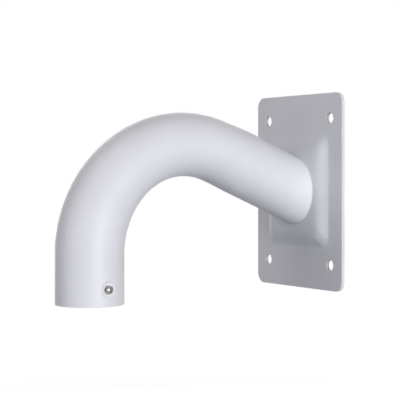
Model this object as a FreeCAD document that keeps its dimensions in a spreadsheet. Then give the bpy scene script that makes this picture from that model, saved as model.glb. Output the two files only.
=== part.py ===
import FreeCAD, Part
import math
import os
import re

import Sketcher

# Gooseneck wall bracket for a dome camera.
# Frame: +Z up, +Y into the wall, the wall's surface at Y = 0. The origin is the centre of the four
# wall holes, on the plate's back face. The arm reaches out along -Y and drops plumb at its end.

# Driving sizes, in millimetres and degrees.
SIZES = {
    "plate_width": (131, "wall plate, across"),
    "plate_height": (185, "wall plate, up and down"),
    "plate_thickness": (3.5, "sheet that the plate is pressed from"),
    "plate_corner": (10, "radius of the plate's corners"),
    "plate_edge": (0.4, "chamfer of the plate's front edge"),
    "hole_spacing_across": (96, "wall holes, centre to centre across"),
    "hole_spacing_up": (137.5, "wall holes, centre to centre up"),
    "hole_diameter": (10.5, "wall holes"),
    "hole_rim": (0.5, "chamfer of each wall hole's front rim"),
    "boss_width": (71, "flat top of the pressed boss, across"),
    "boss_height": (83, "flat top of the pressed boss, up and down"),
    "boss_rise": (6, "how far the boss stands out from the plate's front"),
    "boss_run": (11, "how far the boss's sloping sides spread towards the plate"),
    "boss_mitre": (18, "rounding of the ridges between the boss's sloping sides"),
    "crown_radius": (18, "front radius of the fold round the boss's flat top"),
    "foot_radius": (6, "front radius of the fold at the boss's foot"),
    "tube_diameter": (60, "outside of the arm's tube"),
    "tube_wall": (3, "wall of the arm's tube"),
    "tube_gap": (0.1, "gap round the arm in the plate's opening"),
    "arm_inset": (2, "from the wall to the arm's sawn end"),
    "axis_height": (0.6, "height of the arm's axis where it leaves the boss's flat top"),
    "rise_angle": (22.5, "rise of the arm as it leaves the boss"),
    "root_length": (67, "straight part of the arm, along its axis from the boss's flat top"),
    "lead_radius": (570, "radius of the slight draw just before the bend"),
    "lead_angle": (3.4, "turn taken by that slight draw"),
    "bend_radius": (96, "centreline radius of the arm's bend"),
    "drop_length": (43, "straight plumb part at the arm's lower end"),
    "flattening": (0.038, "share of its depth that the tube loses in the bend"),
    "flat_fade": (0.7, "share of the bend over which the tube grows round again"),
    "rim_outside": (0.8, "chamfer of the arm's lower rim, outside"),
    "rim_inside": (0.5, "chamfer of the arm's lower rim, inside"),
    "weld_leg": (3.5, "leg of the fillet weld behind the boss"),
    "weld_toe": (0.6, "thickness of the weld's toe at the tube"),
    "socket_length": (24, "length of the pipe socket"),
    "socket_recess": (2, "from the arm's lower rim up to the socket"),
    "socket_bore": (44.85, "bore of the socket: the thread's crests, for 1 1/2 inch pipe"),
    "socket_lead_in": (1.5, "chamfer at each end of the socket's bore"),
    "socket_gap": (0.05, "gap between the socket and the tube, all round"),
    "screw_height": (14.5, "height of the lock screw above the arm's lower rim"),
    "screw_turn": (3.8, "turn of the lock screw round the arm's end, from straight sideways to the wall"),
    "screw_standoff": (2, "from the seat's floor to the underside of the lock screw's head"),
    "screw_diameter": (4, "lock screw's thread"),
    "screw_gap": (0.03, "gap round the lock screw's thread"),
    "screw_setback": (0.3, "from the screw's tip to the socket's bore"),
    "head_diameter": (7, "lock screw's head"),
    "head_side": (1.3, "straight side of the head"),
    "head_dome": (1.5, "rise of the head's dome above that side"),
    "recess_length": (4.0, "cross recess, tip to tip"),
    "recess_width": (0.95, "width of each wing of the cross recess"),
    "recess_depth": (1.4, "depth of the cross recess"),
    "recess_taper": (8, "taper of the cross recess's walls, each side"),
    "seat_depth": (1.2, "depth of the screw's dished seat below the tube's side"),
    "seat_floor": (11.8, "diameter of the seat's flat floor"),
    "seat_slope": (1.25, "spread of the seat's side for each millimetre of its depth"),
    "seat_clear": (4, "how far the tool that makes the seat reaches out"),
}
# Bands that the slight draw and the bend are ruled in, on the tube's outside and in its bore.
OUTSIDE_BANDS = (1, 16)
INSIDE_BANDS = (1, 9)
# Two places this close, in millimetres, count as the same when edges are picked.
NEAR = 0.01

doc = FreeCAD.newDocument("camera_bracket")
sheet = doc.addObject("Spreadsheet::Sheet", "Sizes")
for line, (alias, (size, note)) in enumerate(SIZES.items(), start=1):
    sheet.set(f"A{line}", alias)
    sheet.set(f"B{line}", str(size))
    sheet.set(f"C{line}", note)
    sheet.setAlias(f"B{line}", alias)
doc.recompute()

ALIAS = re.compile(r"\b(" + "|".join(SIZES) + r")\b")


def formula(text):
    """The sheet's names in a formula, written the way an expression reads them."""
    return ALIAS.sub(r"Sizes.\1", text)


def bind(item, **formulas):
    """Binds properties to formulas; a double underscore stands for the dot in a property's path."""
    for path, text in formulas.items():
        item.setExpression(path.replace("__", "."), formula(text))


def value(text):
    """The present value of a formula, for starting a sketch close to its solution."""
    result = sheet.evalExpression(formula(text))
    return float(getattr(result, "Value", result))


def new_sketch(body, name, role, **offset):
    """A sketch on one of the body's origin planes, shifted by bound formulas."""
    sketch = body.newObject("Sketcher::SketchObject", name)
    plane = next(item for item in body.Origin.OriginFeatures if item.Role == role)
    sketch.AttachmentSupport = [(plane, "")]
    sketch.MapMode = "FlatFace"
    bind(sketch, **{f"AttachmentOffset__Base__{axis}": text for axis, text in offset.items()})
    return sketch


def bound_constraint(sketch, name, kind, *where, size):
    """A dimension in a sketch, bound to a formula."""
    number = sketch.addConstraint(Sketcher.Constraint(kind, *where, value(size)))
    sketch.renameConstraint(number, name)
    sketch.setExpression(f"Constraints.{name}", formula(size))


def rounded_rectangle(sketch, width, height, corner):
    """A rectangle with round corners, centred on the sketch's origin."""
    half_x = value(width) / 2
    half_y = value(height) / 2
    radius = value(corner)
    flat_x = half_x - radius
    flat_y = half_y - radius
    at = FreeCAD.Vector
    sides = [
        (at(-flat_x, -half_y, 0), at(flat_x, -half_y, 0)),
        (at(half_x, -flat_y, 0), at(half_x, flat_y, 0)),
        (at(flat_x, half_y, 0), at(-flat_x, half_y, 0)),
        (at(-half_x, flat_y, 0), at(-half_x, -flat_y, 0)),
    ]
    corners = [at(flat_x, -flat_y, 0), at(flat_x, flat_y, 0),
               at(-flat_x, flat_y, 0), at(-flat_x, -flat_y, 0)]
    for start, end in sides:
        sketch.addGeometry(Part.LineSegment(start, end), False)
    for index, centre in enumerate(corners):
        circle = Part.Circle(centre, at(0, 0, 1), radius)
        sketch.addGeometry(Part.ArcOfCircle(circle, (index - 1) * math.pi / 2, index * math.pi / 2), False)
    for index in range(4):
        arc = 4 + index
        following = (index + 1) % 4
        sketch.addConstraint(Sketcher.Constraint("Tangent", index, 2, arc, 1))
        sketch.addConstraint(Sketcher.Constraint("Tangent", arc, 2, following, 1))
    for side, kind in enumerate(["Horizontal", "Vertical", "Horizontal", "Vertical"]):
        sketch.addConstraint(Sketcher.Constraint(kind, side))
    for arc in (5, 6, 7):
        sketch.addConstraint(Sketcher.Constraint("Equal", 4, arc))
    sketch.addConstraint(Sketcher.Constraint("Symmetric", 4, 3, 6, 3, -1, 1))
    bound_constraint(sketch, "corner", "Radius", 4, size=corner)
    bound_constraint(sketch, "width", "DistanceX", 3, 1, 1, 1, size=width)
    bound_constraint(sketch, "height", "DistanceY", 0, 1, 2, 2, size=height)


def circle_at(sketch, name, diameter, across="0", up="0"):
    """A circle in a sketch, its centre placed by bound formulas."""
    centre = FreeCAD.Vector(value(across), value(up), 0)
    circle = sketch.addGeometry(Part.Circle(centre, FreeCAD.Vector(0, 0, 1), value(diameter) / 2), False)
    bound_constraint(sketch, f"{name}_diameter", "Diameter", circle, size=diameter)
    if across == "0" and up == "0":
        sketch.addConstraint(Sketcher.Constraint("Coincident", circle, 3, -1, 1))
    else:
        bound_constraint(sketch, f"{name}_across", "DistanceX", -1, 1, circle, 3, size=across)
        bound_constraint(sketch, f"{name}_up", "DistanceY", -1, 1, circle, 3, size=up)


def closed_profile(sketch, corners):
    """A closed outline through corners given as pairs of formulas, each corner pinned by them."""
    points = [FreeCAD.Vector(value(x), value(y), 0) for x, y in corners]
    for index, point in enumerate(points):
        sketch.addGeometry(Part.LineSegment(point, points[(index + 1) % len(points)]), False)
    for index, (x, y) in enumerate(corners):
        following = (index + 1) % len(points)
        sketch.addConstraint(Sketcher.Constraint("Coincident", index, 2, following, 1))
        if x == "0":
            sketch.addConstraint(Sketcher.Constraint("PointOnObject", index, 1, -2))
        else:
            bound_constraint(sketch, f"x{index}", "DistanceX", -1, 1, index, 1, size=x)
        if y == "0":
            sketch.addConstraint(Sketcher.Constraint("PointOnObject", index, 1, -1))
        else:
            bound_constraint(sketch, f"y{index}", "DistanceY", -1, 1, index, 1, size=y)


def edges_where(feature, test):
    """Names of the feature's edges that pass a test of their bounding box."""
    return [f"Edge{index}" for index, edge in enumerate(feature.Shape.Edges, start=1) if test(edge.BoundBox)]


def lies_at(box, depth, half_width, half_height):
    """True for an edge at one depth from the wall that keeps inside a rectangle round the origin."""
    flat = abs(box.YMin + depth) < NEAR and abs(box.YMax + depth) < NEAR
    inside = max(-box.XMin, box.XMax) < half_width + NEAR and max(-box.ZMin, box.ZMax) < half_height + NEAR
    return flat and inside


def slopes_from(box, depth):
    """True for an edge that leaves one depth from the wall and runs askew to all three axes."""
    return abs(box.YMax + depth) < NEAR and min(box.XLength, box.YLength, box.ZLength) > NEAR


def rounding(body, name, edges, radius):
    """A fillet on named edges of the body's last feature."""
    base = body.Tip
    fillet = body.newObject("PartDesign::Fillet", name)
    fillet.Base = (base, edges)
    bind(fillet, Radius=radius)
    doc.recompute()


def bevelling(body, name, edges, size):
    """A chamfer on named edges of the body's last feature."""
    base = body.Tip
    chamfer = body.newObject("PartDesign::Chamfer", name)
    chamfer.Base = (base, edges)
    bind(chamfer, Size=size)
    doc.recompute()


# Where the pieces meet, worked out once from the driving sizes.
FACE_DEPTH = "(plate_thickness + boss_rise)"
FOLD_INSET = "(plate_thickness * tan(atan(boss_rise / boss_run) / 2))"
TUBE_RADIUS = "(tube_diameter / 2)"
BEND_TILT = "(rise_angle - lead_angle)"
LEAD_Y = f"(-{FACE_DEPTH} - root_length * cos(rise_angle))"
LEAD_Z = "(axis_height + root_length * sin(rise_angle))"
BEND_Y = f"({LEAD_Y} - lead_radius * (sin(rise_angle) - sin({BEND_TILT})))"
BEND_Z = f"({LEAD_Z} + lead_radius * (cos({BEND_TILT}) - cos(rise_angle)))"
DROP_Y = f"({BEND_Y} - bend_radius * (1 + sin({BEND_TILT})))"
DROP_Z = f"({BEND_Z} - bend_radius * cos({BEND_TILT}))"
RIM_Z = f"({DROP_Z} - drop_length)"
SEAT_REACH = f"({TUBE_RADIUS} - seat_depth)"
HEAD_REACH = f"({SEAT_REACH} + screw_standoff)"


def frustum(body, kind, name, far, near, inset):
    """The boss's form between two depths from the wall, drawn in all round by an inset."""
    form = body.newObject(kind, name)
    bind(form, Ymin=f"-{far}", Ymax=f"-{near}",
         Xmin=f"-(boss_width / 2 - {inset})", Xmax=f"boss_width / 2 - {inset}",
         Zmin=f"-(boss_height / 2 - {inset})", Zmax=f"boss_height / 2 - {inset}",
         X2min=f"-(boss_width / 2 + boss_run - {inset})", X2max=f"boss_width / 2 + boss_run - {inset}",
         Z2min=f"-(boss_height / 2 + boss_run - {inset})", Z2max=f"boss_height / 2 + boss_run - {inset}")
    doc.recompute()


# Wall plate: a sheet with a boss pressed out of it, hollow behind, and open where the arm goes in.
def make_wall_plate():
    body = doc.addObject("PartDesign::Body", "wall_plate")
    outline = new_sketch(body, "plate_outline", "XZ_Plane")
    rounded_rectangle(outline, "plate_width", "plate_height", "plate_corner")
    blank = body.newObject("PartDesign::Pad", "sheet_blank")
    blank.Profile = outline
    bind(blank, Length="plate_thickness")

    half_width = value("boss_width / 2")
    half_height = value("boss_height / 2")
    run = value("boss_run")
    thickness = value("plate_thickness")
    frustum(body, "PartDesign::AdditiveWedge", "boss", FACE_DEPTH, "plate_thickness", "0")
    rounding(body, "outer_ridges", edges_where(
        body.Tip, lambda box: slopes_from(box, thickness)), "boss_mitre")
    frustum(body, "PartDesign::SubtractiveWedge", "hollow", "boss_rise", "0", FOLD_INSET)
    rounding(body, "inner_ridges", edges_where(
        body.Tip, lambda box: slopes_from(box, 0)), "boss_mitre - plate_thickness")
    rounding(body, "top_fold", edges_where(
        body.Tip, lambda box: lies_at(box, value(FACE_DEPTH), half_width, half_height)), "crown_radius")
    rounding(body, "foot_fold", edges_where(
        body.Tip, lambda box: lies_at(box, thickness, half_width + run, half_height + run)), "foot_radius")
    rounding(body, "floor_fold", edges_where(
        body.Tip, lambda box: lies_at(box, value("boss_rise"), half_width, half_height)),
        "crown_radius - plate_thickness")
    rounding(body, "mouth_fold", edges_where(
        body.Tip, lambda box: lies_at(box, 0, half_width + run, half_height + run)),
        "foot_radius + plate_thickness")

    opening_outline = new_sketch(body, "arm_opening_outline", "XZ_Plane", y="axis_height", z=FACE_DEPTH)
    opening_outline.AttachmentOffset = FreeCAD.Placement(
        FreeCAD.Vector(0, 0, 0), FreeCAD.Rotation(FreeCAD.Vector(1, 0, 0), -value("rise_angle")))
    bind(opening_outline, AttachmentOffset__Rotation__Angle="-rise_angle")
    circle_at(opening_outline, "opening", "tube_diameter + 2 * tube_gap")
    opening = body.newObject("PartDesign::Pocket", "arm_opening")
    opening.Profile = opening_outline
    opening.Midplane = True
    bind(opening, Length=f"2 * ({TUBE_RADIUS} * tan(rise_angle) + {FACE_DEPTH} / cos(rise_angle))")

    holes_outline = new_sketch(body, "wall_holes_outline", "XZ_Plane")
    for across_name, across in (("left", "-hole_spacing_across / 2"), ("right", "hole_spacing_across / 2")):
        for up_name, up in (("lower", "-hole_spacing_up / 2"), ("upper", "hole_spacing_up / 2")):
            circle_at(holes_outline, f"{up_name}_{across_name}", "hole_diameter", across, up)
    holes = body.newObject("PartDesign::Pocket", "wall_holes")
    holes.Profile = holes_outline
    holes.Type = "ThroughAll"
    holes.Midplane = True
    doc.recompute()

    plate_half_width = value("plate_width / 2")
    plate_half_height = value("plate_height / 2")
    hole_size = value("hole_diameter")
    bevelling(body, "hole_rims", edges_where(
        holes, lambda box: lies_at(box, thickness, plate_half_width, plate_half_height)
        and abs(box.XLength - hole_size) < NEAR and abs(box.ZLength - hole_size) < NEAR), "hole_rim")
    bevelling(body, "front_edge", edges_where(
        body.Tip, lambda box: lies_at(box, thickness, plate_half_width, plate_half_height)
        and (max(-box.XMin, box.XMax) > plate_half_width - NEAR
             or max(-box.ZMin, box.ZMax) > plate_half_height - NEAR)), "plate_edge")
    return body


def tilted(item, y, z, tilt):
    """Stands an item at a point of the arm's axis, its own Z along the axis, which rises by the tilt."""
    item.Placement = FreeCAD.Placement(
        FreeCAD.Vector(0, 0, 0), FreeCAD.Rotation(FreeCAD.Vector(1, 0, 0), 90 - value(tilt)))
    bind(item, Placement__Base__y=y, Placement__Base__z=z, Placement__Rotation__Angle=f"90 - ({tilt})")


def on_screw_axis(item, reach):
    """Lays an item along the lock screw's axis, its own Z outwards, at a reach from the drop's middle."""
    turn = math.radians(value("screw_turn"))
    across = FreeCAD.Vector(-math.sin(turn), math.cos(turn), 0)
    item.Placement = FreeCAD.Placement(FreeCAD.Vector(0, 0, 0), FreeCAD.Rotation(across, 90))
    bind(item, Placement__Rotation__Axis__x="-sin(screw_turn)",
         Placement__Rotation__Axis__y="cos(screw_turn)",
         Placement__Base__x=f"{reach} * cos(screw_turn)",
         Placement__Base__y=f"{DROP_Y} + {reach} * sin(screw_turn)",
         Placement__Base__z=f"{RIM_Z} + screw_height")


def smooth(share):
    """A formula that eases from 0 to 1 as the share does."""
    return f"({share})^2 * (3 - 2 * ({share}))"


def arm_stations(lead_bands, bend_bands):
    """Point, tilt and flattening of the arm's section, from the slight draw's start to the bend's end."""
    for step in range(lead_bands):
        share = step / lead_bands
        tilt = f"(rise_angle - {share} * lead_angle)"
        y = f"{LEAD_Y} - lead_radius * (sin(rise_angle) - sin({tilt}))"
        z = f"{LEAD_Z} + lead_radius * (cos({tilt}) - cos(rise_angle))"
        yield y, z, tilt, f"flattening * {smooth(share)}"
    for step in range(bend_bands + 1):
        share = step / bend_bands
        tilt = f"({BEND_TILT} - {share} * (90 + {BEND_TILT}))"
        y = f"{BEND_Y} - bend_radius * (sin({BEND_TILT}) - sin({tilt}))"
        z = f"{BEND_Z} + bend_radius * (cos({tilt}) - cos({BEND_TILT}))"
        yield y, z, tilt, f"flattening * {smooth(f'min(1; {1 - share} / flat_fade)')}"


def tube_solid(name, radius, bands, root_back, drop_down):
    """The arm's whole run as one solid bar: straight root, slight draw, bend and plumb drop."""
    root = doc.addObject("Part::Cylinder", f"{name}_root")
    tilted(root, f"-{FACE_DEPTH} + {root_back} * cos(rise_angle)",
           f"axis_height - {root_back} * sin(rise_angle)", "rise_angle")
    bind(root, Radius=radius, Height=f"root_length + {root_back}")

    sections = []
    for number, (y, z, tilt, flatness) in enumerate(arm_stations(*bands)):
        section = doc.addObject("Part::Ellipse", f"{name}_section_{number}")
        tilted(section, y, z, tilt)
        section.MajorRadius = value(radius)
        bind(section, MajorRadius=radius, MinorRadius=f"{radius} - {TUBE_RADIUS} * {flatness}")
        sections.append(section)
    bend = doc.addObject("Part::Loft", f"{name}_bend")
    bend.Sections = sections
    bend.Solid = True
    bend.Ruled = True

    drop = doc.addObject("Part::Cylinder", f"{name}_drop")
    bind(drop, Placement__Base__y=DROP_Y, Placement__Base__z=f"{RIM_Z} - {drop_down}", Radius=radius,
         Height=f"drop_length + {drop_down}")

    bar = doc.addObject("Part::MultiFuse", name)
    bar.Shapes = [root, bend, drop]
    bar.Refine = False
    return bar


# Arm: one tube, sawn parallel to the wall at its root. Bending has flattened it a little in the plane of
# the bend, most where the bend begins, and it is round again at the drop.
def make_gooseneck_arm():
    root_back = f"({FACE_DEPTH} / cos(rise_angle) + {TUBE_RADIUS} * tan(rise_angle))"
    outside = tube_solid("tube_outside", TUBE_RADIUS, OUTSIDE_BANDS, root_back, "0")
    inside = tube_solid("tube_inside", f"({TUBE_RADIUS} - tube_wall)", INSIDE_BANDS,
                        f"({root_back} + tube_wall)", "tube_wall")
    pipe = doc.addObject("Part::Cut", "pipe")
    pipe.Base = outside
    pipe.Tool = inside

    saw = doc.addObject("Part::Box", "saw_cut")
    bind(saw, Length="2 * tube_diameter", Width="tube_diameter", Height="2 * tube_diameter",
         Placement__Base__x="-tube_diameter", Placement__Base__y="-arm_inset",
         Placement__Base__z="-tube_diameter")
    seat = doc.addObject("Part::Cone", "screw_seat")
    on_screw_axis(seat, SEAT_REACH)
    bind(seat, Radius1="seat_floor / 2", Radius2="seat_floor / 2 + seat_slope * seat_clear",
         Height="seat_clear")
    screw_hole = doc.addObject("Part::Cylinder", "arm_screw_hole")
    on_screw_axis(screw_hole, "tube_diameter / 4")
    bind(screw_hole, Radius="screw_diameter / 2 + screw_gap", Height="tube_diameter / 2")
    tools = doc.addObject("Part::MultiFuse", "arm_tools")
    tools.Shapes = [saw, seat, screw_hole]
    worked = doc.addObject("Part::Cut", "worked_pipe")
    worked.Base = pipe
    worked.Tool = tools
    doc.recompute()

    rim_height = value(RIM_Z)
    outside_radius = value(TUBE_RADIUS)
    rims = []
    for index, edge in enumerate(worked.Shape.Edges, start=1):
        box = edge.BoundBox
        if abs(box.ZMin - rim_height) < NEAR and abs(box.ZMax - rim_height) < NEAR:
            outer = abs(box.XLength / 2 - outside_radius) < NEAR
            chamfer = value("rim_outside" if outer else "rim_inside")
            rims.append((index, chamfer, chamfer))
    arm = doc.addObject("Part::Chamfer", "gooseneck_arm")
    arm.Base = worked
    arm.Edges = rims
    return arm


# Weld: a fillet all round the arm, in the corner between the tube and the back of the boss. Its foot
# follows the sheet where that begins to fold away.
def make_arm_weld(plate):
    rings = []
    for name, behind, spread in (("foot", "0", "weld_leg"), ("toe", "weld_leg", "weld_toe")):
        ring = doc.addObject("Part::Ellipse", f"weld_{name}")
        ring.Placement = FreeCAD.Placement(
            FreeCAD.Vector(0, 0, 0), FreeCAD.Rotation(FreeCAD.Vector(1, 1, 1), 240))
        ring.MajorRadius = value(f"({TUBE_RADIUS} + {spread}) / cos(rise_angle)")
        bind(ring, MajorRadius=f"({TUBE_RADIUS} + {spread}) / cos(rise_angle)",
             MinorRadius=f"{TUBE_RADIUS} + {spread}", Placement__Base__y=f"-boss_rise + {behind}",
             Placement__Base__z=f"axis_height - (plate_thickness + {behind}) * tan(rise_angle)")
        rings.append(ring)
    mound = doc.addObject("Part::Loft", "weld_mound")
    mound.Sections = rings
    mound.Solid = True
    mound.Ruled = True
    tube = doc.addObject("Part::Cylinder", "weld_tube")
    reach = f"({FACE_DEPTH} / cos(rise_angle) + {TUBE_RADIUS})"
    tilted(tube, f"-{FACE_DEPTH} + {reach} * cos(rise_angle)",
           f"axis_height - {reach} * sin(rise_angle)", "rise_angle")
    bind(tube, Radius=TUBE_RADIUS, Height=f"2 * {reach}")
    bead = doc.addObject("Part::Cut", "weld_bead")
    bead.Base = mound
    bead.Tool = tube
    weld = doc.addObject("Part::Cut", "arm_weld")
    weld.Base = bead
    weld.Tool = plate
    return weld


# Pipe socket: a turned ring pressed into the arm's lower end, with a tapped hole for the lock screw.
def make_pipe_socket():
    body = doc.addObject("PartDesign::Body", "pipe_socket")
    body.Placement = FreeCAD.Placement(
        FreeCAD.Vector(0, 0, 0), FreeCAD.Rotation(FreeCAD.Vector(0, 0, 1), value("screw_turn")))
    bind(body, Placement__Base__y=DROP_Y, Placement__Base__z=f"{RIM_Z} + socket_recess",
         Placement__Rotation__Angle="screw_turn")
    section = new_sketch(body, "socket_section", "XZ_Plane")
    outer = f"{TUBE_RADIUS} - tube_wall - socket_gap"
    closed_profile(section, [
        (outer, "0"),
        (outer, "socket_length"),
        ("socket_bore / 2 + socket_lead_in", "socket_length"),
        ("socket_bore / 2", "socket_length - socket_lead_in"),
        ("socket_bore / 2", "socket_lead_in"),
        ("socket_bore / 2 + socket_lead_in", "0"),
    ])
    turned = body.newObject("PartDesign::Revolution", "turned_ring")
    turned.Profile = section
    turned.ReferenceAxis = (section, ["V_Axis"])
    turned.Angle = 360
    doc.recompute()

    tapping = new_sketch(body, "socket_screw_outline", "YZ_Plane")
    circle_at(tapping, "tapping", "screw_diameter + 2 * screw_gap", "0.0", "screw_height - socket_recess")
    tapped = body.newObject("PartDesign::Pocket", "socket_screw_hole")
    tapped.Profile = tapping
    tapped.Reversed = True
    bind(tapped, Length=TUBE_RADIUS)
    return body


# Lock screw: domed head with a cross recess; its tip stops just short of the socket's thread.
def make_lock_screw():
    body = doc.addObject("PartDesign::Body", "lock_screw")
    on_screw_axis(body, HEAD_REACH)

    section = new_sketch(body, "screw_section", "XZ_Plane")
    tip = f"-({HEAD_REACH} - socket_bore / 2 - screw_setback)"
    corners = [
        ("0", tip),
        ("screw_diameter / 2", tip),
        ("screw_diameter / 2", "0"),
        ("head_diameter / 2", "0"),
        ("head_diameter / 2", "head_side"),
    ]
    points = [FreeCAD.Vector(value(x), value(y), 0) for x, y in corners]
    crown = FreeCAD.Vector(0, value("head_side + head_dome"), 0)
    for start, end in zip(points, points[1:]):
        section.addGeometry(Part.LineSegment(start, end), False)
    dome_radius = value("(head_diameter^2 / 4 + head_dome^2) / (2 * head_dome)")
    middle = FreeCAD.Vector(0, crown.y - dome_radius, 0)
    shoulder = (points[-1] - middle).getAngle(FreeCAD.Vector(1, 0, 0))
    upright = FreeCAD.Vector(0, 1, 0).getAngle(FreeCAD.Vector(1, 0, 0))
    dome = section.addGeometry(Part.ArcOfCircle(
        Part.Circle(middle, FreeCAD.Vector(0, 0, 1), dome_radius), shoulder, upright), False)
    axis_line = section.addGeometry(Part.LineSegment(crown, points[0]), False)
    last = len(corners) - 2
    for index in range(last):
        section.addConstraint(Sketcher.Constraint("Coincident", index, 2, index + 1, 1))
    section.addConstraint(Sketcher.Constraint("Coincident", last, 2, dome, 1))
    section.addConstraint(Sketcher.Constraint("Coincident", dome, 2, axis_line, 1))
    section.addConstraint(Sketcher.Constraint("Coincident", axis_line, 2, 0, 1))
    section.addConstraint(Sketcher.Constraint("PointOnObject", 0, 1, -2))
    section.addConstraint(Sketcher.Constraint("PointOnObject", dome, 2, -2))
    section.addConstraint(Sketcher.Constraint("PointOnObject", dome, 3, -2))
    bound_constraint(section, "tip", "DistanceY", -1, 1, 0, 1, size=tip)
    for index, (x, y) in enumerate(corners[1:], start=1):
        geometry, end = (index, 1) if index <= last else (last, 2)
        bound_constraint(section, f"x{index}", "DistanceX", -1, 1, geometry, end, size=x)
        if y == "0":
            section.addConstraint(Sketcher.Constraint("PointOnObject", geometry, end, -1))
        else:
            bound_constraint(section, f"y{index}", "DistanceY", -1, 1, geometry, end, size=y)
    bound_constraint(section, "crown", "DistanceY", -1, 1, dome, 2, size="head_side + head_dome")
    turned = body.newObject("PartDesign::Revolution", "turned_screw")
    turned.Profile = section
    turned.ReferenceAxis = (section, ["V_Axis"])
    turned.Angle = 360
    doc.recompute()

    wing_outline = new_sketch(body, "wing_outline", "XY_Plane", z="head_side + head_dome")
    closed_profile(wing_outline, [
        ("-recess_length / 2", "-recess_width / 2"),
        ("recess_length / 2", "-recess_width / 2"),
        ("recess_length / 2", "recess_width / 2"),
        ("-recess_length / 2", "recess_width / 2"),
    ])
    wing = body.newObject("PartDesign::Pocket", "recess_wing")
    wing.Profile = wing_outline
    bind(wing, Length="recess_depth", TaperAngle="-recess_taper")
    cross = body.newObject("PartDesign::PolarPattern", "cross_recess")
    cross.Originals = [wing]
    cross.Axis = (wing_outline, ["N_Axis"])
    cross.Angle = 180
    cross.Occurrences = 2
    body.Tip = cross
    return body


wall_plate = make_wall_plate()
pieces = [wall_plate, make_gooseneck_arm(), make_arm_weld(wall_plate), make_pipe_socket(), make_lock_screw()]
doc.recompute()

for item in doc.Objects:
    if "Invalid" in item.State or "Error" in item.State:
        raise RuntimeError(f"{item.Name} failed: {item.State}")
os.makedirs("parts", exist_ok=True)
for piece in pieces:
    if piece.Shape.isNull() or not piece.Shape.isValid():
        raise RuntimeError(f"{piece.Label} has no valid shape")
    piece.Label = piece.Name
    print(piece.Label, "volume", round(piece.Shape.Volume, 1), "faces", len(piece.Shape.Faces))
for piece in pieces:
    piece.Shape.exportStep(f"parts/{piece.Label}.step")
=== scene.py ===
import math

import bmesh
import bpy
from mathutils import Matrix, Vector


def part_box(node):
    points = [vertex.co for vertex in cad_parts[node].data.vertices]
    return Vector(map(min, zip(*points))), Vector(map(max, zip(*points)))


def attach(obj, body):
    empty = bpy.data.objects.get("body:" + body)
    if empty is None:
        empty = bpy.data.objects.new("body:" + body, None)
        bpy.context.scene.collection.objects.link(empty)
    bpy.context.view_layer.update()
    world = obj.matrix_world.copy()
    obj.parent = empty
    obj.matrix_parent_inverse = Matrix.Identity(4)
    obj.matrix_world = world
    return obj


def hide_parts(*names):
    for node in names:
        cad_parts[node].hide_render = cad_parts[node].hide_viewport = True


# Gooseneck wall bracket for a dome camera, in metres: +Z up, +Y into the wall, the wall at Y = 0.
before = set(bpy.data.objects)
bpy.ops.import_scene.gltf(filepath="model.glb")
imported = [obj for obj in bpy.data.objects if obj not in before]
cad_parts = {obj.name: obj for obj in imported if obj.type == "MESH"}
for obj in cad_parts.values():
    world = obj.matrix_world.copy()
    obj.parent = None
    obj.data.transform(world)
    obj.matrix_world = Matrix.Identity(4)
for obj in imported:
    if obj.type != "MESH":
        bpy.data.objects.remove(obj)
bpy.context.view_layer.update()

# Wall plate: a steel sheet with a boss pressed out of its middle, hollow behind, four punched wall holes
# and an oblique opening for the arm. It is cut, pressed, welded to the arm and powder coated with it.
plate_low, plate_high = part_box("wall_plate")
plate_width = plate_high.x - plate_low.x
plate_height = plate_high.z - plate_low.z
plate_face = plate_low.y
plate_corner = 0.010
corner_steps = 10
sheet = 0.0035
boss_rise = -plate_face - sheet
boss_run = 0.011
boss_width = 0.071
boss_height = 0.083
boss_corner = 0.009
foot_width = boss_width + 2 * boss_run
foot_height = boss_height + 2 * boss_run
foot_radius = 0.006
crown_radius = 0.018
fold_steps = 8
same_point = 0.000001
to_wall_plane = Matrix.Rotation(math.pi / 2, 4, "X")


def rectangle(bm, width, height, depth):
    """A face parallel to the wall, facing into the room."""
    size = Matrix.Diagonal((width / 2, height / 2, 1, 1))
    place = Matrix.Translation((0, -depth, 0)) @ to_wall_plane @ size
    verts = bmesh.ops.create_grid(bm, x_segments=1, y_segments=1, size=1, matrix=place)["verts"]
    return verts[0].link_faces[0]


def pressed_steps(run, rise, foot, crown, steps):
    """How far in from the foot line, and how high, the pressed face is: the foot's fold, then the crown's."""
    slope = math.atan2(rise, run)
    for step in range(steps + 1):
        turn = slope * step / steps
        yield foot * (math.sin(turn) - math.tan(slope / 2)), foot * (1 - math.cos(turn))
    for step in range(steps, -1, -1):
        turn = slope * step / steps
        yield run + crown * (math.tan(slope / 2) - math.sin(turn)), rise - crown * (1 - math.cos(turn))


def draw_in(face, width, height, depth):
    """Moves a face's four corners to a new overall size and depth from the wall, and keeps their rounding."""
    across = max(vert.co.x for vert in face.verts) - width / 2
    up = max(vert.co.z for vert in face.verts) - height / 2
    for vert in face.verts:
        vert.co -= Vector((math.copysign(across, vert.co.x), vert.co.y + depth, math.copysign(up, vert.co.z)))


def new_object(name, bm):
    """An object at the origin made from a bmesh, all of its faces smooth."""
    for face in bm.faces:
        face.smooth = True
    mesh = bpy.data.meshes.new(name)
    bm.to_mesh(mesh)
    bm.free()
    piece = bpy.data.objects.new(name, mesh)
    bpy.context.scene.collection.objects.link(piece)
    return piece


def bake_modifiers(piece):
    """Replaces a piece's mesh by the one its modifiers make."""
    view = bpy.context.evaluated_depsgraph_get()
    made = bpy.data.meshes.new_from_object(piece.evaluated_get(view))
    piece.modifiers.clear()
    piece.data = made


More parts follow.
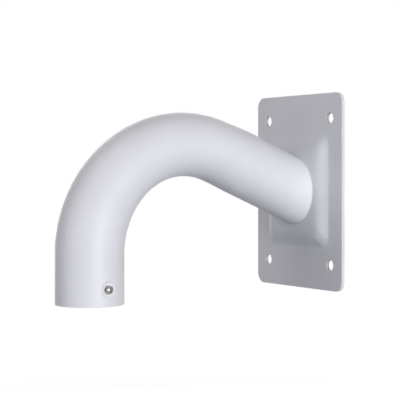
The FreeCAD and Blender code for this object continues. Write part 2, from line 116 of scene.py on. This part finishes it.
bm = bmesh.new()
skin = rectangle(bm, plate_width, plate_height, sheet)
bmesh.ops.bevel(bm, geom=list(skin.verts), offset=plate_corner, offset_type="OFFSET", segments=corner_steps,
                profile=0.5, affect="VERTICES", material=-1)
(skin,) = bm.faces[:]
bmesh.ops.inset_individual(bm, faces=[skin], thickness=plate_corner - boss_corner, use_even_offset=True)
for inwards, height in pressed_steps(boss_run, boss_rise, foot_radius, crown_radius, fold_steps):
    draw_in(skin, foot_width - 2 * inwards, foot_height - 2 * inwards, sheet + height)
    (skin,) = bmesh.ops.extrude_discrete_faces(bm, faces=[skin])["faces"]
bmesh.ops.remove_doubles(bm, verts=bm.verts[:], dist=same_point)
bm.normal_update()
plate = new_object("pressed_wall_plate", bm)
thicken = plate.modifiers.new("sheet", "SOLIDIFY")
thicken.thickness = sheet
thicken.use_even_offset = True
bake_modifiers(plate)

hole_across = 0.096
hole_up = 0.1375
hole_radius = 0.00525
hole_steps = 48
punch_length = 4 * sheet
tube_radius = 0.030
arm_gap = 0.0001
axis_height = 0.0006
rise_angle = math.radians(22.5)
opening_steps = 128
opening_cutter_length = 0.06


def cut_away(piece, cutter):
    """Takes the cutter out of the piece and throws the cutter away."""
    cut = piece.modifiers.new("cut", "BOOLEAN")
    cut.object = cutter
    cut.solver = "EXACT"
    cut.use_self = True
    bake_modifiers(piece)
    bpy.data.objects.remove(cutter)


bm = bmesh.new()
for side in (-1, 1):
    for level in (-1, 1):
        hole_place = Matrix.Translation((side * hole_across / 2, -sheet / 2, level * hole_up / 2))
        bmesh.ops.create_cone(bm, cap_ends=True, segments=hole_steps, radius1=hole_radius,
                              radius2=hole_radius, depth=punch_length, matrix=hole_place @ to_wall_plane)
opening_radius = tube_radius + arm_gap
opening_place = Matrix.Translation((0, plate_face, axis_height))
along_arm = Matrix.Rotation(math.pi / 2 - rise_angle, 4, "X")
bmesh.ops.create_cone(bm, cap_ends=True, segments=opening_steps, radius1=opening_radius,
                      radius2=opening_radius, depth=opening_cutter_length, matrix=opening_place @ along_arm)
cut_away(plate, new_object("plate_tools", bm))

coat_colour = (0.797, 0.798, 0.85)
coat_shine = 0.42
coat_smoothest = 0.40
coat_roughest = 0.52
tone_scale = 22
tone_darkest = 0.975
tone_lightest = 1.02
peel_scale = 900
peel_strength = 0.35
peel_height = 0.00012
paint_rounding = 0.00045
paint_steps = 3
sheet_edge_angle = 35


def soften_edges(piece, width, steps, sharper_than):
    """Rounds a piece's sharp edges as paint or tumbling does, and keeps its flat faces flat."""
    rounding = piece.modifiers.new("rounding", "BEVEL")
    rounding.width = width
    rounding.segments = steps
    rounding.limit_method = "ANGLE"
    rounding.angle_limit = math.radians(sharper_than)
    flats = piece.modifiers.new("flats", "WEIGHTED_NORMAL")
    flats.weight = 100
    bake_modifiers(piece)


def new_finish(name):
    """A material, its nodes and links, its shader, and the object's own coordinates for its patterns."""
    finish = bpy.data.materials.new(name)
    finish.use_nodes = True
    nodes = finish.node_tree.nodes
    place = nodes.new("ShaderNodeTexCoord").outputs["Object"]
    return finish, nodes, finish.node_tree.links, nodes["Principled BSDF"], place


def cloud(nodes, links, place, scale, detail):
    """A noise pattern from 0 to 1."""
    noise = nodes.new("ShaderNodeTexNoise")
    noise.inputs["Scale"].default_value = scale
    noise.inputs["Detail"].default_value = detail
    links.new(place, noise.inputs["Vector"])
    return noise.outputs["Fac"]


def vary_roughness(nodes, links, pattern, smoothest, roughest):
    """Lets the finish's roughness follow a pattern."""
    gloss = nodes.new("ShaderNodeMapRange")
    gloss.inputs["To Min"].default_value = smoothest
    gloss.inputs["To Max"].default_value = roughest
    links.new(pattern, gloss.inputs["Value"])
    links.new(gloss.outputs["Result"], nodes["Principled BSDF"].inputs["Roughness"])


def raise_pattern(nodes, links, pattern, strength, height):
    """Lets a pattern stand up from the surface as a fine bump."""
    bump = nodes.new("ShaderNodeBump")
    bump.inputs["Strength"].default_value = strength
    bump.inputs["Distance"].default_value = height
    links.new(pattern, bump.inputs["Height"])
    links.new(bump.outputs["Normal"], nodes["Principled BSDF"].inputs["Normal"])


def powder_coat(name, colour):
    """Satin powder coat: fine orange peel, and a tone that drifts a little from place to place."""
    coat, nodes, links, shader, place = new_finish(name)
    shader.inputs["Specular IOR Level"].default_value = coat_shine
    tone = nodes.new("ShaderNodeMapRange")
    tone.inputs["From Min"].default_value = 0.3
    tone.inputs["From Max"].default_value = 0.7
    tone.inputs["To Min"].default_value = tone_darkest
    tone.inputs["To Max"].default_value = tone_lightest
    links.new(cloud(nodes, links, place, scale=tone_scale, detail=3), tone.inputs["Value"])
    paint = nodes.new("ShaderNodeVectorMath")
    paint.operation = "SCALE"
    paint.inputs[0].default_value = colour
    links.new(tone.outputs["Result"], paint.inputs["Scale"])
    links.new(paint.outputs["Vector"], shader.inputs["Base Color"])
    peel = cloud(nodes, links, place, scale=peel_scale, detail=2)
    vary_roughness(nodes, links, peel, coat_smoothest, coat_roughest)
    raise_pattern(nodes, links, peel, peel_strength, peel_height)
    return coat


def finish_piece(piece, node, material):
    """Hands a piece over: it stands for its CAD node and takes its finish."""
    piece.data.materials.clear()
    piece.data.materials.append(material)
    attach(piece, "root")
    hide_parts(node)


soften_edges(plate, paint_rounding, paint_steps, sheet_edge_angle)
white_coat = powder_coat("satin_white_powder_coat", coat_colour)
finish_piece(plate, "wall_plate", white_coat)

# Gooseneck arm: one 60 x 3 mm steel tube, bent cold, sawn parallel to the wall at its root and square at its
# lower end. Bending has flattened it a little, most where the bend begins. A dished seat for the lock screw
# is milled into its side, and the powder coat has softened the seat's rim.
tube_wall = 0.003
tube_sides = 192
root_length = 0.067
root_overlength = 0.030
root_inset = 0.002
root_steps = 12
lead_radius = 0.570
lead_angle = math.radians(3.4)
lead_steps = 10
bend_radius = 0.096
bend_steps = 90
drop_length = 0.043
drop_steps = 40
flattening = 0.038
flat_fade = 0.7
plumb = -math.pi / 2


def ease(share):
    """Goes from 0 to 1 with a soft start and end."""
    return share * share * (3 - 2 * share)


def flatten_in(share):
    """How flat the tube is along the long lead into the bend."""
    return flattening * ease(share)


def flatten_out(share):
    """How flat the tube is along the bend, round again well before its end."""
    return flattening * ease(min(1, (1 - share) / flat_fade))


def station(y, z, tilt, flatness):
    """Where a round of the tube goes: a circle in the XY plane, turned until its axis runs along the arm."""
    turn = Matrix.Rotation(math.pi / 2 - tilt, 4, "X")
    return Matrix.Translation((0, y, z)) @ turn @ Matrix.Diagonal((1, 1 - flatness, 1, 1))


def arc_stations(y, z, radius, first, last, steps, flatness):
    """Stations along an arc of the arm's axis, after its first point."""
    for step in range(1, steps + 1):
        share = step / steps
        tilt = first + share * (last - first)
        yield station(y - radius * (math.sin(first) - math.sin(tilt)),
                      z + radius * (math.cos(tilt) - math.cos(first)), tilt, flatness(share))


def only(kind, geometry):
    """The points, edges or faces among an operator's results."""
    return [item for item in geometry if isinstance(item, kind)]


def draw_tube(bm, stations, sides, radius):
    """Draws a round of edges through its stations, and gives the first round and the last."""
    bmesh.ops.create_circle(bm, segments=sides, radius=radius, matrix=stations[0])
    first = ring = bm.edges[:]
    for here, there in zip(stations, stations[1:]):
        grown = bmesh.ops.extrude_edge_only(bm, edges=ring)["geom"]
        ring = only(bmesh.types.BMEdge, grown)
        bmesh.ops.transform(bm, matrix=there @ here.inverted(), verts=only(bmesh.types.BMVert, grown))
    return first, ring


bend_tilt = rise_angle - lead_angle
lead_y = plate_face - root_length * math.cos(rise_angle)
lead_z = axis_height + root_length * math.sin(rise_angle)
bend_y = lead_y - lead_radius * (math.sin(rise_angle) - math.sin(bend_tilt))
bend_z = lead_z + lead_radius * (math.cos(bend_tilt) - math.cos(rise_angle))
drop_y = bend_y - bend_radius * (1 + math.sin(bend_tilt))
drop_z = bend_z - bend_radius * math.cos(bend_tilt)
stations = []
for step in range(root_steps + 1):
    along = step / root_steps * (root_length + root_overlength) - root_overlength
    root_y = plate_face - along * math.cos(rise_angle)
    root_z = axis_height + along * math.sin(rise_angle)
    stations.append(station(root_y, root_z, rise_angle, 0))
stations += arc_stations(lead_y, lead_z, lead_radius, rise_angle, bend_tilt, lead_steps, flatten_in)
stations += arc_stations(bend_y, bend_z, bend_radius, bend_tilt, plumb, bend_steps, flatten_out)
for step in range(1, drop_steps + 1):
    stations.append(station(drop_y, drop_z - step / drop_steps * drop_length, plumb, 0))

bm = bmesh.new()
draw_tube(bm, stations, tube_sides, tube_radius)
bmesh.ops.recalc_face_normals(bm, faces=bm.faces[:])
arm = new_object("gooseneck_tube", bm)
thicken = arm.modifiers.new("wall", "SOLIDIFY")
thicken.thickness = tube_wall
bake_modifiers(arm)
bm = bmesh.new()
bm.from_mesh(arm.data)
bpy.data.objects.remove(arm)
sawn = bmesh.ops.bisect_plane(bm, geom=bm.verts[:] + bm.edges[:] + bm.faces[:], plane_co=(0, -root_inset, 0),
                              plane_no=(0, 1, 0), clear_outer=True)["geom_cut"]
bmesh.ops.bridge_loops(bm, edges=only(bmesh.types.BMEdge, sawn))

screw_height = 0.0145
screw_turn = math.radians(3.8)
seat_depth = 0.0012
seat_floor = 0.0059
seat_slope = 1.25
seat_softness = 0.0003
seat_reach = 0.0105
seat_cuts = 3
seat_bottom = tube_radius - seat_depth
screw_place = Matrix.Translation((0, drop_y, drop_z - drop_length + screw_height))
screw_frame = screw_place @ Matrix.Rotation(screw_turn, 4, "Z")
to_screw_frame = screw_frame.inverted()
rim_rounding = 0.0008
rim_steps = 4
rim_angle = 50


def near_seat(vert):
    """Whether a point is on the tube's outside, in the round patch that holds the screw's seat."""
    place = to_screw_frame @ vert.co
    outside = math.hypot(place.x, place.y) > tube_radius - tube_wall / 2
    return outside and place.x > 0 and math.hypot(place.y, place.z) < seat_reach


def soft_min(a, b, softness):
    """The lower of two values, with a soft change from one to the other."""
    meeting = max(softness - abs(a - b), 0) / softness
    return min(a, b) - meeting * meeting * softness / 4


seat_edges = [edge for edge in bm.edges if all(near_seat(vert) for vert in edge.verts)]
bmesh.ops.subdivide_edges(bm, edges=seat_edges, cuts=seat_cuts, use_grid_fill=True)
for vert in filter(near_seat, bm.verts):
    place = to_screw_frame @ vert.co
    out = tube_radius / math.hypot(place.x, place.y)
    seat_side = seat_bottom + (math.hypot(place.y * out, place.z) - seat_floor) / seat_slope
    dished = soft_min(place.x * out, -soft_min(-seat_bottom, -seat_side, seat_softness), seat_softness)
    vert.co = screw_frame @ Vector((dished, place.y * out, place.z))
arm = new_object("gooseneck_tube", bm)
soften_edges(arm, rim_rounding, rim_steps, rim_angle)
finish_piece(arm, "gooseneck_arm", white_coat)

# Weld: one run of fillet weld round the tube, behind the boss, laid before the coat. Its foot follows the
# sheet where that folds away, and the coat has filled in between its ripples.
weld_leg = 0.0035
weld_toe = 0.0006
weld_depth = boss_rise
weld_fullness = 0.0004
weld_rows = 8
ripple_count = 74
ripple_sides = 6
ripple_height = 0.00022
ripple_start = 1.02
ripple_growth = 12
ripple_bow = 2.4
fold_start = boss_width / 2 - crown_radius * math.tan(math.atan2(boss_rise, boss_run) / 2)


def weld_ring(behind, spread):
    """The tube's oval outline on a plane that lies behind the boss's back, spread outwards."""
    centre_z = axis_height - (sheet + behind) * math.tan(rise_angle)
    half_height = (tube_radius + spread) / math.cos(rise_angle)
    return (Matrix.Translation((0, -weld_depth + behind, centre_z)) @ to_wall_plane
            @ Matrix.Diagonal((tube_radius + spread, half_height, 1, 1)))


rows = [weld_ring(0, 0)]
for row in range(weld_rows + 1):
    share = row / weld_rows
    fullness = weld_fullness * math.sin(math.pi * share)
    rows.append(weld_ring(weld_leg * share + fullness, weld_leg + (weld_toe - weld_leg) * share + fullness))
rows.append(weld_ring(weld_leg, 0))
bm = bmesh.new()
first_ring, last_ring = draw_tube(bm, rows, ripple_count * ripple_sides, 1)
bmesh.ops.bridge_loops(bm, edges=first_ring + last_ring)
for vert in bm.verts:
    across = vert.co.x / tube_radius
    upright = (vert.co.z - axis_height) * math.cos(rise_angle) / tube_radius
    grown = min(1, max(0, math.hypot(across, upright) - ripple_start) * ripple_growth)
    lag = (vert.co.y + weld_depth) / weld_leg
    phase = math.atan2(upright, across) * ripple_count + ripple_bow * math.cos(math.pi * (lag - 0.5))
    vert.co.y += ripple_height * grown * math.sin(math.pi * min(1, max(0, lag))) * math.cos(phase)
    folded = max(0, abs(vert.co.x) - fold_start) ** 2 / (2 * (crown_radius - sheet))
    vert.co.y = max(vert.co.y, folded - weld_depth)
bmesh.ops.recalc_face_normals(bm, faces=bm.faces[:])
weld = new_object("fillet_weld", bm)
finish_piece(weld, "arm_weld", white_coat)

# Pipe socket: a turned and zinc-plated steel ring, pressed into the arm's lower end. Its parallel pipe
# thread, 11 turns to the inch, takes the camera's hanging cap.
socket_low, socket_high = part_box("pipe_socket")
socket_radius = (socket_high.x - socket_low.x) / 2
socket_lead_in = 0.0015
thread_crest = 0.022425
thread_depth = 0.00128
thread_pitch = 0.0254 / 11
thread_steps = 160
thread_form = ((0.00, 1), (0.06, 1), (0.44, 0), (0.56, 0), (0.94, 1))
thread_edge_angle = 40
end_tolerance = 0.00001
zinc_dark = (0.52, 0.53, 0.54, 1)
zinc_light = (0.70, 0.69, 0.66, 1)
zinc_smoothest = 0.22
zinc_roughest = 0.42
lathe_ring_scale = 900
lathe_ring_height = 0.00003


def bare_metal(name, scale, detail, dark, light, smoothest, roughest):
    """Unpainted metal whose tint and roughness both follow one noise."""
    metal, nodes, links, shader, place = new_finish(name)
    shader.inputs["Metallic"].default_value = 1
    pattern = cloud(nodes, links, place, scale, detail)
    tint = nodes.new("ShaderNodeValToRGB")
    tint.color_ramp.elements[0].color = dark
    tint.color_ramp.elements[1].color = light
    links.new(pattern, tint.inputs["Fac"])
    links.new(tint.outputs["Color"], shader.inputs["Base Color"])
    vary_roughness(nodes, links, pattern, smoothest, roughest)
    return metal, nodes, links, place


def plated_steel():
    """Zinc plate on turned steel: bright, faintly warm, with the lathe's fine rings round its axis."""
    plated, nodes, links, place = bare_metal("zinc_plated_steel", scale=160, detail=4, dark=zinc_dark,
                                             light=zinc_light, smoothest=zinc_smoothest,
                                             roughest=zinc_roughest)
    rings = nodes.new("ShaderNodeTexWave")
    rings.bands_direction = "Z"
    rings.inputs["Scale"].default_value = lathe_ring_scale
    rings.inputs["Distortion"].default_value = 1.5
    links.new(place, rings.inputs["Vector"])
    raise_pattern(nodes, links, rings.outputs["Fac"], strength=0.25, height=lathe_ring_height)
    return plated


def thread(bm, middle_y, crest, depth, pitch, low, high, steps):
    """A thread round an upright line, cut off square at both heights. Its depth goes outwards in a bore."""
    profile = []
    for turn in range(math.ceil((high - low) / pitch) + 2):
        for share, deep in thread_form:
            profile.append(bm.verts.new((crest + deep * depth, middle_y, low + (turn + share - 1) * pitch)))
    line = [bm.edges.new(pair) for pair in zip(profile, profile[1:])]
    bmesh.ops.spin(bm, geom=profile + line, cent=(0, middle_y, 0), axis=(0, 0, 1), angle=2 * math.pi,
                   steps=steps, dvec=(0, 0, pitch / steps))
    bmesh.ops.remove_doubles(bm, verts=bm.verts[:], dist=end_tolerance)
    for height, direction in ((low, -1), (high, 1)):
        bmesh.ops.bisect_plane(bm, geom=bm.verts[:] + bm.edges[:] + bm.faces[:], plane_co=(0, 0, height),
                               plane_no=(0, 0, direction), clear_outer=True)


def from_drop(vert):
    """A point's distance from the middle of the arm's drop."""
    return math.hypot(vert.co.x, vert.co.y - drop_y)


def move_out(vert, factor):
    """Moves a point straight out from the middle of the arm's drop."""
    vert.co.x *= factor
    vert.co.y = drop_y + (vert.co.y - drop_y) * factor


def open_edges(bm):
    """The edges that have a face on one side only."""
    return [edge for edge in bm.edges if edge.is_boundary]


bm = bmesh.new()
thread(bm, drop_y, thread_crest, thread_depth, thread_pitch, socket_low.z, socket_high.z, thread_steps)
for vert in bm.verts:
    to_end = min(vert.co.z - socket_low.z, socket_high.z - vert.co.z)
    reach = from_drop(vert)
    move_out(vert, max(reach, thread_crest + socket_lead_in - to_end) / reach)
for height in (socket_low.z, socket_high.z):
    lip = [edge for edge in open_edges(bm)
           if all(abs(vert.co.z - height) < end_tolerance for vert in edge.verts)]
    for vert in only(bmesh.types.BMVert, bmesh.ops.extrude_edge_only(bm, edges=lip)["geom"]):
        move_out(vert, socket_radius / from_drop(vert))
bmesh.ops.bridge_loops(bm, edges=open_edges(bm))
bmesh.ops.recalc_face_normals(bm, faces=bm.faces[:])
socket = new_object("threaded_pipe_socket", bm)
socket.data.set_sharp_from_angle(angle=math.radians(thread_edge_angle))
finish_piece(socket, "pipe_socket", plated_steel())

# Lock screw: a stainless machine screw, M4, with a domed head and a cross recess. It goes through the arm's
# wall into the socket and keeps the camera's cap from turning, so its head stands off its seat.
head_radius = 0.0035
head_side = 0.0013
head_dome = 0.0015
head_chamfer = 0.00025
head_rounding = 0.00012
head_rounding_steps = 3
head_edge_angle = 35
head_sides = 64
dome_steps = 12
dome_radius = (head_radius ** 2 + head_dome ** 2) / (2 * head_dome)
dome_angle = math.asin(head_radius / dome_radius)
screw_standoff = 0.002
screw_setback = 0.0003
head_foot = tube_radius - seat_depth + screw_standoff
head_crown = head_foot + head_side + head_dome
shank_radius = 0.0020
shank_thread_depth = -0.00043
shank_pitch = 0.0007
shank_steps = 48
recess_half = 0.0020
recess_width = 0.00095
recess_depth = 0.0014
recess_taper = math.tan(math.radians(8))
recess_turn = 25
# These stainless colours are darker than the metal really is: painted shade standing in for dark surroundings
# mirrored in the head. The step from one colour to the other is the grain.
stainless_grain_dark_with_painted_shade = (0.235, 0.235, 0.23, 1)
stainless_grain_light_with_painted_shade = (0.35, 0.343, 0.326, 1)
stainless_smoothest = 0.14
stainless_roughest = 0.30


def stainless_steel():
    """Bright-finished stainless, cold headed, with a fine grain; its colour is set dark as painted shade,
    standing in for dark surroundings mirrored in the head.
    """
    return bare_metal("shade_darkened_stainless_steel", scale=1400, detail=3, dark=stainless_grain_dark_with_painted_shade,
                      light=stainless_grain_light_with_painted_shade, smoothest=stainless_smoothest, roughest=stainless_roughest)[0]


bm = bmesh.new()
profile = [(head_foot, 0), (head_foot, head_radius - head_chamfer), (head_foot + head_chamfer, head_radius)]
for step in range(dome_steps + 1):
    angle = dome_angle * (1 - step / dome_steps)
    profile.append((head_crown - dome_radius * (1 - math.cos(angle)), dome_radius * math.sin(angle)))
points = [bm.verts.new((x, 0, radius)) for x, radius in profile]
line = [bm.edges.new(pair) for pair in zip(points, points[1:])]
bmesh.ops.spin(bm, geom=points + line, cent=(0, 0, 0), axis=(1, 0, 0), angle=2 * math.pi, steps=head_sides,
               use_merge=True)
bmesh.ops.remove_doubles(bm, verts=bm.verts[:], dist=same_point)
bmesh.ops.recalc_face_normals(bm, faces=bm.faces[:])
screw = new_object("domed_lock_screw", bm)

bm = bmesh.new()
for quarter in range(2):
    wing = bmesh.ops.create_cube(bm, size=1)["verts"]
    bmesh.ops.scale(bm, vec=(2 * recess_depth, 2 * recess_half, recess_width), verts=wing)
    for vert in wing:
        if vert.co.x < 0:
            vert.co.y -= math.copysign(2 * recess_depth * recess_taper, vert.co.y)
            vert.co.z -= math.copysign(recess_depth * recess_taper, vert.co.z)
    wing_turn = Matrix.Rotation(math.radians(recess_turn + 90 * quarter), 3, "X")
    bmesh.ops.rotate(bm, cent=(0, 0, 0), matrix=wing_turn, verts=wing)
    bmesh.ops.translate(bm, vec=(head_crown, 0, 0), verts=wing)
cut_away(screw, new_object("cross_driver", bm))
soften_edges(screw, head_rounding, head_rounding_steps, head_edge_angle)

bm = bmesh.new()
shank_tip = thread_crest + screw_setback
thread(bm, 0, shank_radius, shank_thread_depth, shank_pitch, shank_tip, head_foot, shank_steps)
bmesh.ops.holes_fill(bm, edges=open_edges(bm))
bmesh.ops.recalc_face_normals(bm, faces=bm.faces[:])
bmesh.ops.rotate(bm, cent=(0, 0, 0), matrix=Matrix.Rotation(math.pi / 2, 3, "Y"), verts=bm.verts[:])
for face in bm.faces:
    face.smooth = True
bm.from_mesh(screw.data)
bmesh.ops.transform(bm, matrix=screw_frame, verts=bm.verts[:])
bm.to_mesh(screw.data)
bm.free()
finish_piece(screw, "lock_screw", stainless_steel())

# Studio: a pale floor far below, on which the bracket's soft shadow falls, a white room that shows in
# metal, and soft lamps on its right, in front and above. One fill lamp, on the left, stands mostly behind
# the wall's plane and lights the far sides.
floor_depth = -0.55
floor_half_size = 30
floor_colour = (0.12, 0.135, 0.165, 1)
near_glow = 0.75
shadow_reach = 2.4
room_light = 0.029
bracket_middle = Vector((0, -0.12, 0.0))
lamp_distance = 1.9


def seen_or_mirrored(nodes, links):
    """1 for what the camera sees, straight or in a gloss, and 0 for the light that falls on things."""
    ray = nodes.new("ShaderNodeLightPath")
    gloss = nodes.new("ShaderNodeMath")
    gloss.operation = "MAXIMUM"
    links.new(ray.outputs["Is Camera Ray"], gloss.inputs[0])
    links.new(ray.outputs["Is Glossy Ray"], gloss.inputs[1])
    clear = nodes.new("ShaderNodeMath")
    clear.operation = "MAXIMUM"
    links.new(gloss.outputs["Value"], clear.inputs[0])
    links.new(ray.outputs["Is Transmission Ray"], clear.inputs[1])
    return clear.outputs["Value"]


def pale_paper():
    """Matt paper that takes the bracket's shadow, and fades to plain white away from it."""
    paper, nodes, links, shader, place = new_finish("pale_paper")
    nodes.remove(shader)
    matt = nodes.new("ShaderNodeBsdfDiffuse")
    matt.inputs["Color"].default_value = floor_colour
    reach = nodes.new("ShaderNodeVectorMath")
    reach.operation = "LENGTH"
    links.new(place, reach.inputs[0])
    fade = nodes.new("ShaderNodeMapRange")
    fade.inputs["From Max"].default_value = shadow_reach
    fade.inputs["To Min"].default_value = near_glow
    links.new(reach.outputs["Value"], fade.inputs["Value"])
    strength = nodes.new("ShaderNodeMath")
    strength.operation = "MULTIPLY"
    links.new(seen_or_mirrored(nodes, links), strength.inputs[0])
    links.new(fade.outputs["Result"], strength.inputs[1])
    glow = nodes.new("ShaderNodeEmission")
    links.new(strength.outputs["Value"], glow.inputs["Strength"])
    both = nodes.new("ShaderNodeAddShader")
    links.new(matt.outputs["BSDF"], both.inputs[0])
    links.new(glow.outputs["Emission"], both.inputs[1])
    links.new(both.outputs["Shader"], nodes["Material Output"].inputs["Surface"])
    return paper


def white_room():
    """A world that shows white to the camera and in gloss, and gives only a little light of its own."""
    room = bpy.data.worlds.new("white_room")
    room.use_nodes = True
    nodes = room.node_tree.nodes
    links = room.node_tree.links
    strength = nodes.new("ShaderNodeMapRange")
    strength.inputs["To Min"].default_value = room_light
    links.new(seen_or_mirrored(nodes, links), strength.inputs["Value"])
    links.new(strength.outputs["Result"], nodes["Background"].inputs["Strength"])
    nodes["Background"].inputs["Color"].default_value = (1, 1, 1, 1)
    return room


def soft_lamp(name, azimuth, elevation, width, height, power):
    """A soft box, aimed at the bracket. Azimuth runs from +X towards +Y, as seen from above."""
    box = bpy.data.lights.new(name, "AREA")
    box.shape = "RECTANGLE"
    box.size = width
    box.size_y = height
    box.energy = power
    lamp = bpy.data.objects.new(name, box)
    turn = math.radians(azimuth)
    lift = math.radians(elevation)
    away = Vector((math.cos(lift) * math.cos(turn), math.cos(lift) * math.sin(turn), math.sin(lift)))
    lamp.location = bracket_middle + away * lamp_distance
    lamp.rotation_euler = away.to_track_quat("Z", "Y").to_euler()
    bpy.context.scene.collection.objects.link(lamp)


bm = bmesh.new()
bmesh.ops.create_grid(bm, x_segments=1, y_segments=1, size=floor_half_size,
                      matrix=Matrix.Translation((0, 0, floor_depth)))
floor = new_object("studio_floor", bm)
floor.data.materials.append(pale_paper())
bpy.context.scene.world = white_room()
soft_lamp("low_lamp", azimuth=0, elevation=-7, width=1.2, height=0.62, power=13.1)
soft_lamp("key_lamp", azimuth=-5, elevation=5, width=1.2, height=1.1, power=18.1)
soft_lamp("quarter_lamp", azimuth=-70, elevation=5, width=1.2, height=1.1, power=2.9)
soft_lamp("side_lamp", azimuth=-100, elevation=5, width=1.2, height=1.1, power=5.6)
soft_lamp("rim_lamp", azimuth=-105, elevation=50, width=1.2, height=1.2, power=6.3)
soft_lamp("fill_lamp", azimuth=158, elevation=12, width=1.6, height=1.9, power=16)

# Camera: level, a little over a metre away, on the lock screw's side, as in the photograph.
image_size = 400
focal_pixels = 1207.1
optical_row = 170.73
camera_place = Vector((0.9243, -0.7212, 0.01965))
camera_turn = math.radians(56.81)
lens = bpy.data.cameras.new("view")
lens.sensor_width = 36
lens.lens = focal_pixels / image_size * lens.sensor_width
lens.shift_y = (optical_row - image_size / 2) / image_size
lens.clip_start = 0.01
camera = bpy.data.objects.new("view", lens)
camera.location = camera_place
camera.rotation_euler = (math.pi / 2, 0, camera_turn)
bpy.context.scene.collection.objects.link(camera)
bpy.context.scene.camera = camera
bpy.context.scene.view_settings.view_transform = "Standard"
